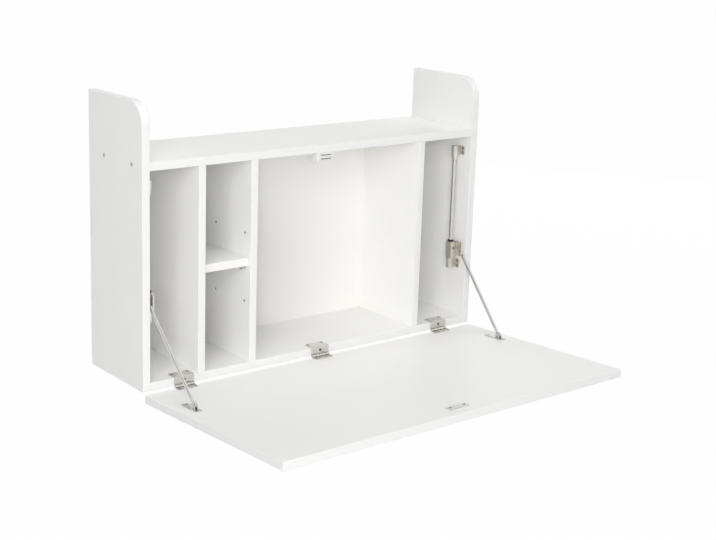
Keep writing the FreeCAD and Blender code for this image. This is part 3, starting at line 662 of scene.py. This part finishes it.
def start_fresh():
    """Object mode with nothing selected."""
    if bpy.context.mode != "OBJECT":
        bpy.ops.object.mode_set(mode="OBJECT")
    bpy.ops.object.select_all(action="DESELECT")


def take(piece):
    """Make one piece the only one selected and active."""
    start_fresh()
    piece.select_set(True)
    bpy.context.view_layer.objects.active = piece


def settle(name):
    """Name the new primitive and put its place into its mesh."""
    piece = bpy.context.object
    piece.name = name
    piece.data.name = name
    bpy.ops.object.transform_apply(location=True, rotation=True, scale=True)
    return piece


def edit_top(piece):
    """Edit mode with only the faces selected that point up."""
    bpy.ops.object.mode_set(mode="OBJECT")
    bpy.context.tool_settings.mesh_select_mode = (False, False, True)
    mesh = piece.data
    mesh.vertices.foreach_set("select", [False] * len(mesh.vertices))
    mesh.edges.foreach_set("select", [False] * len(mesh.edges))
    mesh.polygons.foreach_set("select", [f.normal.z > PARTLY_ON for f in mesh.polygons])
    bpy.ops.object.mode_set(mode="EDIT")


def tidy_normals(piece):
    """Turn all faces outwards and leave edit mode."""
    take(piece)
    bpy.ops.object.mode_set(mode="EDIT")
    bpy.ops.mesh.select_all(action="SELECT")
    bpy.ops.mesh.normals_make_consistent(inside=False)
    bpy.ops.object.mode_set(mode="OBJECT")


def smooth(piece, degrees):
    """Shade a piece smooth across edges up to an angle."""
    take(piece)
    bpy.ops.object.shade_smooth_by_angle(angle=math.radians(degrees))


def turned(name, stations, sides):
    """Round piece along Z from pairs of radius and height, grown by extruding the cap of a disc."""
    start_fresh()
    radius, height = stations[0]
    bpy.ops.mesh.primitive_circle_add(vertices=sides, radius=radius, fill_type="NGON",
                                      location=(0, 0, height))
    piece = settle(name)
    bpy.ops.object.mode_set(mode="EDIT")
    bpy.context.tool_settings.mesh_select_mode = (False, False, True)
    bpy.ops.mesh.select_all(action="SELECT")
    for next_radius, next_height in stations[1:]:
        bpy.ops.mesh.extrude_region_move(TRANSFORM_OT_translate={"value": (0, 0, next_height - height)})
        grow = next_radius / radius
        bpy.ops.transform.resize(value=(grow, grow, 1), center_override=(0, 0, next_height))
        radius, height = next_radius, next_height
    tidy_normals(piece)
    return piece


def carve(piece, cutter):
    """Take a cutter's shape out of a piece and remove the cutter."""
    take(piece)
    tool = piece.modifiers.new("carve", "BOOLEAN")
    tool.operation = "DIFFERENCE"
    tool.solver = "EXACT"
    tool.object = cutter
    bpy.ops.object.modifier_apply(modifier=tool.name)
    bpy.data.objects.remove(cutter)


def cross_recess(piece, head):
    """Carve a cross recess into the head of a screw that lies along Z."""
    for turn in (0, QUARTER_TURN):
        carve(piece, recess_blade(head, turn))


def recess_blade(head, turn):
    """Tapered blade of a cross recess at the head of a screw."""
    settings = fittings()
    start_fresh()
    bpy.ops.mesh.primitive_cube_add(size=1, location=(0, 0, 0))
    cutter = settle("recess_blade")
    bpy.ops.object.mode_set(mode="EDIT")
    blade = (2 * head * settings.recess_span, head * settings.recess_width, 2 * head * settings.recess_depth)
    bpy.ops.transform.resize(value=blade, center_override=(0, 0, 0))
    edit_top(cutter)
    bpy.ops.transform.resize(value=BLADE_TAPER, center_override=(0, 0, 0))
    bpy.ops.mesh.select_all(action="SELECT")
    bpy.ops.transform.rotate(value=turn, orient_axis="Z", center_override=(0, 0, 0))
    bpy.ops.object.mode_set(mode="OBJECT")
    return cutter


def socket_cutter(head):
    """Six sided cutter for a hexagon socket."""
    start_fresh()
    bpy.ops.mesh.primitive_cylinder_add(vertices=6, radius=head * SOCKET_SHARE,
                                        depth=head * fittings().recess_depth)
    cutter = settle("socket_cutter")
    edit_top(cutter)
    bpy.ops.mesh.inset(thickness=head * SOCKET_INSET_SHARE)
    bpy.ops.object.mode_set(mode="OBJECT")
    return cutter


def countersunk_screw(head, shank, long, hexagon=False):
    """One screw at the origin that runs along Z: flat head, cone, ringed thread and point."""
    settings = fittings()
    rim = RIM_SHARE * head
    core = shank * (1 - settings.thread_depth)
    pitch = settings.thread_pitch * shank / PITCH_SHANK
    tip = long - POINT_SHARE * shank
    stations = [(head - rim, 0), (head, rim), (shank, head - shank), (shank, head)]
    z = head
    while z + pitch < tip:
        stations += [(core, z + root * pitch) for root in ROOT_SHARES]
        z += pitch
        stations.append((shank, z))
    stations += [(core, tip), (core * TIP_SHARE, long)]
    piece = turned("screw_master", stations, settings.screw_sides)
    if hexagon:
        carve(piece, socket_cutter(head))
    else:
        cross_recess(piece, head)
    smooth(piece, SMOOTH_TURNED)
    return piece


def islands(node):
    """Point sets of the separate solids in a CAD node."""
    mesh = nodes[node].data
    owner = {}
    keys = [tuple(round(c, 6) for c in v.co) for v in mesh.vertices]

    def root(key):
        while owner.setdefault(key, key) != key:
            owner[key] = owner[owner[key]]
            key = owner[key]
        return key

    for face in mesh.polygons:
        first = root(keys[face.vertices[0]])
        for other in face.vertices[1:]:
            owner[root(keys[other])] = first
    groups = {}
    for key in keys:
        groups.setdefault(root(key), set()).add(key)
    return [[Vector(p) for p in sorted(groups[name])] for name in sorted(groups)]


def middle_of(points):
    """Middle of the box round some points."""
    low = Vector(min(p[i] for p in points) for i in range(3))
    high = Vector(max(p[i] for p in points) for i in range(3))
    return (low + high) / 2


def reach(points, way):
    """How far some points extend along a way."""
    along = [p.dot(way) for p in points]
    return max(along) - min(along)


def head_of(points, way):
    """Middle of the flat head of a screw that runs along a way."""
    start = min(p.dot(way) for p in points)
    return middle_of([p for p in points if p.dot(way) - start < HEAD_DEPTH])


def screw_places(node, ways):
    """Head and way of each screw in a CAD node; the way is the one that the screw is longest along."""
    places = []
    for points in islands(node):
        way = max(ways, key=lambda w: reach(points, w))
        places.append((head_of(points, way), way))
    return places


def inward_places(node):
    """Head and way of each screw that goes in from the outside of the two side panels."""
    places = []
    for points in islands(node):
        way = -RIGHT if middle_of(points).x > 0 else RIGHT
        places.append((head_of(points, way), way))
    return places


def aimed(way):
    """Turn that lays a piece made along Z along another way."""
    return UP.rotation_difference(way).to_matrix().to_4x4()


def copies(master, name, places):
    """One piece made of a copy of the master at each place, each turned differently."""
    made = []
    for number, (point, way) in enumerate(places):
        mesh = master.data.copy()
        turn = Matrix.Rotation(number * TURN_STEP, 4, "Z")
        mesh.transform(Matrix.Translation(point) @ aimed(way) @ turn)
        piece = bpy.data.objects.new(name, mesh)
        bpy.context.scene.collection.objects.link(piece)
        made.append(piece)
    take(made[0])
    for piece in made[1:]:
        piece.select_set(True)
    bpy.ops.object.join()
    piece = bpy.context.object
    piece.name = name
    piece.data.name = name
    return piece


def eased_copy(node, ease):
    """Copy of a CAD fitting with its points merged, its flats made whole and its edges rounded."""
    start_fresh()
    piece = bpy.data.objects.new("modelled_" + node, nodes[node].data.copy())
    bpy.context.scene.collection.objects.link(piece)
    take(piece)
    bpy.ops.mesh.customdata_custom_splitnormals_clear()
    bpy.ops.object.mode_set(mode="EDIT")
    bpy.ops.mesh.select_all(action="SELECT")
    bpy.ops.mesh.remove_doubles(threshold=MERGE_DISTANCE)
    bpy.ops.mesh.dissolve_limited(angle_limit=FLAT_ANGLE)
    bpy.ops.object.mode_set(mode="OBJECT")
    smooth(piece, SMOOTH_ROUNDED)
    rounding = piece.modifiers.new("rounding", "BEVEL")
    rounding.width = ease
    rounding.segments = ROUND_SEGMENTS
    rounding.limit_method = "ANGLE"
    rounding.angle_limit = ROUND_ANGLE
    rounding.use_clamp_overlap = False
    rounding.loop_slide = False
    rounding.harden_normals = True
    bpy.ops.object.modifier_apply(modifier=rounding.name)
    return piece


def rivet(node, ends):
    """Rivet along X in the box of a CAD node, with a domed head at its low end, its high end or both."""
    settings = fittings()
    tall, shank = settings.rivet_head, settings.rivet_shank
    low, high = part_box(node)
    head, long = (high.z - low.z) / 2, high.x - low.x
    dome = [(r * head, z * tall) for r, z in DOME_SHARES]
    stations = dome + [(shank, tall)] if "low" in ends else [(shank, 0)]
    if "high" in ends:
        stations += [(shank, long - tall)] + [(r, long - z) for r, z in reversed(dome)]
    else:
        stations += [(shank, long)]
    piece = turned("modelled_" + node, stations, settings.screw_sides)
    middle = (low + high) / 2
    lying = Matrix.Rotation(QUARTER_TURN, 4, "Y")
    piece.data.transform(Matrix.Translation((low.x, middle.y, middle.z)) @ lying)
    smooth(piece, SMOOTH_TURNED)
    return piece


class DeskOperator(bpy.types.Operator):
    """Step of the desk"""
    bl_options = {"REGISTER", "UNDO"}

    def execute(self, context):
        start_fresh()
        self.make()
        start_fresh()
        return {"FINISHED"}


class DESK_OT_boards(DeskOperator):
    """Give the cabinet boards, the back and the flap their finishes"""
    bl_idname = "desk.boards"
    bl_label = "Finish Boards"

    def make(self):
        for name in CABINET_BOARDS:
            dress_node(name, name)
        dress_node("back_panel", "back_sheet")
        dress_node("flap_board", "flap_board")


class DESK_OT_screws(DeskOperator):
    """Model the screws with their recesses and threads"""
    bl_idname = "desk.screws"
    bl_label = "Model Screws"

    def make(self):
        into_flap = -FLAP_UP
        panel_screw = (4.5, 3.0, 50.0)
        # Head radius, shank radius and length in millimetres, and the ways that each node's screws may run
        # The top panel's screws have no ways listed, because they run inwards from both sides
        kinds = {
            panel_screw: {"top_panel_screws": None, "bottom_panel_screws": [UP]},
            (3.0, 1.5, 18.0): {"hanger_screws": [-REAR]},
            (3.0, 1.5, 12.0): {
                "hinge_cabinet_screws": [-UP, REAR],
                "hinge_flap_screws": [into_flap],
                "strike_screws": [into_flap],
                "left_bracket_screws": [into_flap],
                "right_bracket_screws": [into_flap]},
            (3.2, 1.6, 13.0): {"left_rod_foot_screws": [-RIGHT], "right_rod_foot_screws": [RIGHT]},
            (2.8, 1.5, 25.0): {"catch_screws": [UP]},
        }
        finishes = {
            "top_panel_screws": "panel_screws",
            "bottom_panel_screws": "panel_screws",
            # These screws get the dark finish that paints in the shade of their recesses
            "strike_screws": "dark_screws",
            "hinge_cabinet_screws": "dark_screws",
            "hinge_flap_screws": "dark_screws",
        }
        for size, uses in kinds.items():
            master = countersunk_screw(*(v * MM for v in size), hexagon=size == panel_screw)
            for node, ways in uses.items():
                places = screw_places(node, ways) if ways else inward_places(node)
                stand_for(copies(master, "modelled_" + node, places), node, finishes.get(node))
            bpy.data.objects.remove(master)


class DESK_OT_sheet_fittings(DeskOperator):
    """Round the edges of the pressed hinge leaves, brackets, hangers and strike plate"""
    bl_idname = "desk.sheet_fittings"
    bl_label = "Model Sheet Fittings"

    def make(self):
        settings = fittings()
        for place in HINGES:
            node = f"{place}_hinge_flap_leaf"
            stand_for(eased_copy(node, settings.leaf_ease), node)
        for side in SIDES:
            node = f"{side}_flap_bracket"
            stand_for(eased_copy(node, settings.plate_ease), node)
        stand_for(eased_copy("wall_hangers", settings.slider_ease), "wall_hangers")
        stand_for(eased_copy("strike_plate", settings.plate_ease), "strike_plate", "strike")


class DESK_OT_cast_fittings(DeskOperator):
    """Round the edges of the cast stay pieces, the bushes, the catch and the shelf pins"""
    bl_idname = "desk.cast_fittings"
    bl_label = "Model Cast Fittings"

    def make(self):
        settings = fittings()
        eases = {"slider_body": settings.slider_ease, "upper_rod_foot": settings.foot_ease,
                 "lower_rod_foot": settings.foot_ease, "slider_bush": settings.plate_ease}
        for side in SIDES:
            for piece, ease in eases.items():
                stand_for(eased_copy(f"{side}_{piece}", ease), f"{side}_{piece}")
        for node in ("catch_body", "shelf_pins"):
            stand_for(eased_copy(node, settings.plate_ease), node)


class DESK_OT_rivets(DeskOperator):
    """Model the domed rivets and pins that the stays turn on, and their brake screws"""
    bl_idname = "desk.rivets"
    bl_label = "Model Rivets"

    def make(self):
        for side, sign in SIDES.items():
            outer, inner = ("high", "low") if sign > 0 else ("low", "high")
            heads = {"pivot_stud": (inner,), "arm_rivet": (outer,), "bracket_pin": (outer, inner)}
            for piece, ends in heads.items():
                node = f"{side}_{piece}"
                stand_for(rivet(node, ends), node, "bright_rod")
            self.brake_screw(f"{side}_brake_screw")

    def brake_screw(self, node):
        """Cheese head screw with a cross recess in the front of a slider."""
        settings = fittings()
        low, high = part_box(node)
        head, tall, shank = (high.x - low.x) / 2, settings.brake_head, settings.brake_shank
        stations = [(r * head, z * tall) for r, z in CHEESE_SHARES]
        stations += [(shank, tall), (shank, high.y - low.y)]
        piece = turned("modelled_" + node, stations, settings.screw_sides)
        cross_recess(piece, head)
        smooth(piece, SMOOTH_TURNED)
        middle = (low + high) / 2
        piece.data.transform(Matrix.Translation((middle.x, low.y, middle.z)) @ aimed(REAR))
        stand_for(piece, node)


class DESK_OT_rods(DeskOperator):
    """Model the guide rods with their chamfered ends"""
    bl_idname = "desk.rods"
    bl_label = "Model Rods"

    def make(self):
        settings = fittings()
        chamfer = settings.rod_chamfer
        for side in SIDES:
            node = f"{side}_guide_rod"
            low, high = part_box(node)
            radius = (high.x - low.x) / 2
            stations = [(radius - chamfer, low.z), (radius, low.z + chamfer), (radius, high.z - chamfer),
                        (radius - chamfer, high.z)]
            piece = turned("modelled_" + node, stations, 2 * settings.screw_sides)
            middle = (low + high) / 2
            piece.data.transform(Matrix.Translation((middle.x, middle.y, 0)))
            smooth(piece, SMOOTH_ROD)
            stand_for(piece, node, "bright_rod")


class DESK_OT_metalwork(DeskOperator):
    """Give the carried over metal, plastic and wood fittings their finishes"""
    bl_idname = "desk.metalwork"
    bl_label = "Finish Fittings"

    def make(self):
        special = {"catch_pole_plates": "poles"}
        for side in SIDES:
            special[f"{side}_arm"] = "bright_rod"
        for name, node in nodes.items():
            if not node.hide_render and name not in (*CABINET_BOARDS, "back_panel", "flap_board"):
                dress_node(name, special.get(name, NODE_SLOTS[name]))


class DESK_OT_stage(DeskOperator):
    """Set up the floor, the light and the camera"""
    bl_idname = "desk.stage"
    bl_label = "Set Stage"

    def make(self):
        settings = bpy.context.scene.desk_stage
        bpy.context.scene.view_settings.view_transform = "Standard"
        self.floor(settings)
        self.sky(settings)
        for name, (azimuth, elevation, size, distance, power_name) in LAMPS.items():
            self.lamp(name, azimuth, elevation, size, distance, getattr(settings, power_name))
        self.camera(settings)

    def floor(self, settings):
        """Pale floor that is almost white to the eye, keeps the desk's shadow and is clear from below."""
        height = cad_low.z - settings.floor_drop
        bpy.ops.mesh.primitive_plane_add(size=settings.floor_size, location=(0, 0, height))
        floor = settle("studio_floor")
        material = bpy.data.materials.new("pale_floor")
        material.use_nodes = True
        tree = Nodes(material.node_tree)
        surface = tree.emptied("ShaderNodeOutputMaterial")
        matt = tree.node("ShaderNodeBsdfDiffuse")
        tree.feed(matt.inputs["Color"], (*settings.floor_colour, 1))
        white = tree.node("ShaderNodeEmission")
        whiteness = tree.sums("MULTIPLY", self.seen_rays(tree), settings.floor_white)
        pale = tree.mixed(whiteness, matt.outputs[0], white.outputs[0])
        clear = tree.node("ShaderNodeBsdfTransparent")
        below = tree.node("ShaderNodeNewGeometry").outputs["Backfacing"]
        tree.feed(surface, tree.mixed(below, pale, clear.outputs[0]))
        floor.data.materials.append(material)

    def seen_rays(self, tree):
        """One for rays that show the background: to the camera, by gloss and through glass."""
        path = tree.node("ShaderNodeLightPath").outputs
        seen = path["Is Camera Ray"]
        for name in ("Is Glossy Ray", "Is Transmission Ray"):
            seen = tree.sums("MAXIMUM", seen, path[name])
        return seen

    def sky(self, settings):
        """Faint even light, with a white backdrop for the rays that show it."""
        world = bpy.data.worlds.new("studio_sky")
        bpy.context.scene.world = world
        world.use_nodes = True
        tree = Nodes(world.node_tree)
        surface = tree.emptied("ShaderNodeOutputWorld")
        light = tree.node("ShaderNodeBackground")
        tree.fill(light, {"Color": (1, 1, 1, 1), "Strength": settings.sky_strength})
        white = tree.node("ShaderNodeBackground")
        tree.feed(white.inputs["Color"], self.backdrop(tree, settings.dark_side))
        tree.feed(surface, tree.mixed(self.seen_rays(tree), light.outputs[0], white.outputs[0]))

    def backdrop(self, tree, dark):
        """White backdrop that falls off to the unlit room in front, for gloss alone."""
        way = tree.node("ShaderNodeTexCoord").outputs["Generated"]
        facing = tree.vector("DOT_PRODUCT", way, ROOM_WAY, output="Value")
        fall = tree.spread(facing, 0.0, 1.0, *ROOM_EDGE, kind="SMOOTHSTEP")
        gloss = tree.node("ShaderNodeLightPath").outputs["Is Glossy Ray"]
        return tree.blend(tree.sums("MULTIPLY", fall, gloss), (1, 1, 1), (dark, dark, dark))

    def lamp(self, name, azimuth, elevation, size, distance, watts):
        """Square lamp that faces the desk from a direction in degrees."""
        start_fresh()
        raised = Matrix.Rotation(math.radians(-elevation), 3, "X")
        back = Matrix.Rotation(math.radians(azimuth), 3, "Z") @ raised @ -REAR
        place = (cad_low + cad_high) / 2 + back * distance
        turn = (-back).to_track_quat("-Z", "Y").to_euler()
        bpy.ops.object.light_add(type="AREA", location=place, rotation=turn)
        lamp = bpy.context.object
        lamp.name = name
        lamp.data.shape = "SQUARE"
        lamp.data.size = size
        lamp.data.energy = watts
        lamp.visible_camera = False
        lamp.visible_glossy = False

    def camera(self, settings):
        """Camera at the photo's place and angle."""
        start_fresh()
        bpy.ops.object.camera_add(location=settings.camera_place)
        camera = bpy.context.object
        camera.name = "photo_camera"
        turn = (Matrix.Rotation(-settings.camera_yaw, 3, "Z")
                @ Matrix.Rotation(QUARTER_TURN - settings.camera_pitch, 3, "X")
                @ Matrix.Rotation(settings.camera_roll, 3, "Z"))
        camera.rotation_euler = turn.to_euler()
        camera.data.sensor_width = SENSOR_WIDTH
        camera.data.lens = settings.lens
        camera.data.shift_y = settings.camera_shift
        bpy.context.scene.camera = camera


class VIEW3D_PT_wall_desk(bpy.types.Panel):
    """Steps and settings of the wall desk"""
    bl_label = "Wall Desk"
    bl_idname = "VIEW3D_PT_wall_desk"
    bl_space_type = "VIEW_3D"
    bl_region_type = "UI"
    bl_category = "Wall Desk"

    def draw(self, context):
        for step in steps:
            self.layout.operator(step.bl_idname)
        for group in ("desk_boards", "desk_fittings", "desk_stage"):
            settings = getattr(context.scene, group)
            for name in settings.bl_rna.properties.keys():
                if name not in ("rna_type", "name"):
                    self.layout.prop(settings, name)


steps = (DESK_OT_boards, DESK_OT_screws, DESK_OT_sheet_fittings, DESK_OT_cast_fittings, DESK_OT_rivets,
         DESK_OT_rods, DESK_OT_metalwork, DESK_OT_stage)
classes = (BoardSettings, FittingSettings, StageSettings, *steps, VIEW3D_PT_wall_desk)


def register():
    """Register the settings, the steps and the panel."""
    for made in classes:
        bpy.utils.register_class(made)
    bpy.types.Scene.desk_boards = PointerProperty(type=BoardSettings)
    bpy.types.Scene.desk_fittings = PointerProperty(type=FittingSettings)
    bpy.types.Scene.desk_stage = PointerProperty(type=StageSettings)


def unregister():
    """Take the panel, the steps and the settings away again."""
    del bpy.types.Scene.desk_stage
    del bpy.types.Scene.desk_fittings
    del bpy.types.Scene.desk_boards
    for made in reversed(classes):
        bpy.utils.unregister_class(made)


def main():
    """Run all the steps."""
    register()
    bpy.ops.desk.boards()
    bpy.ops.desk.screws()
    bpy.ops.desk.sheet_fittings()
    bpy.ops.desk.cast_fittings()
    bpy.ops.desk.rivets()
    bpy.ops.desk.rods()
    bpy.ops.desk.metalwork()
    bpy.ops.desk.stage()


if __name__ == "__main__":
    main()
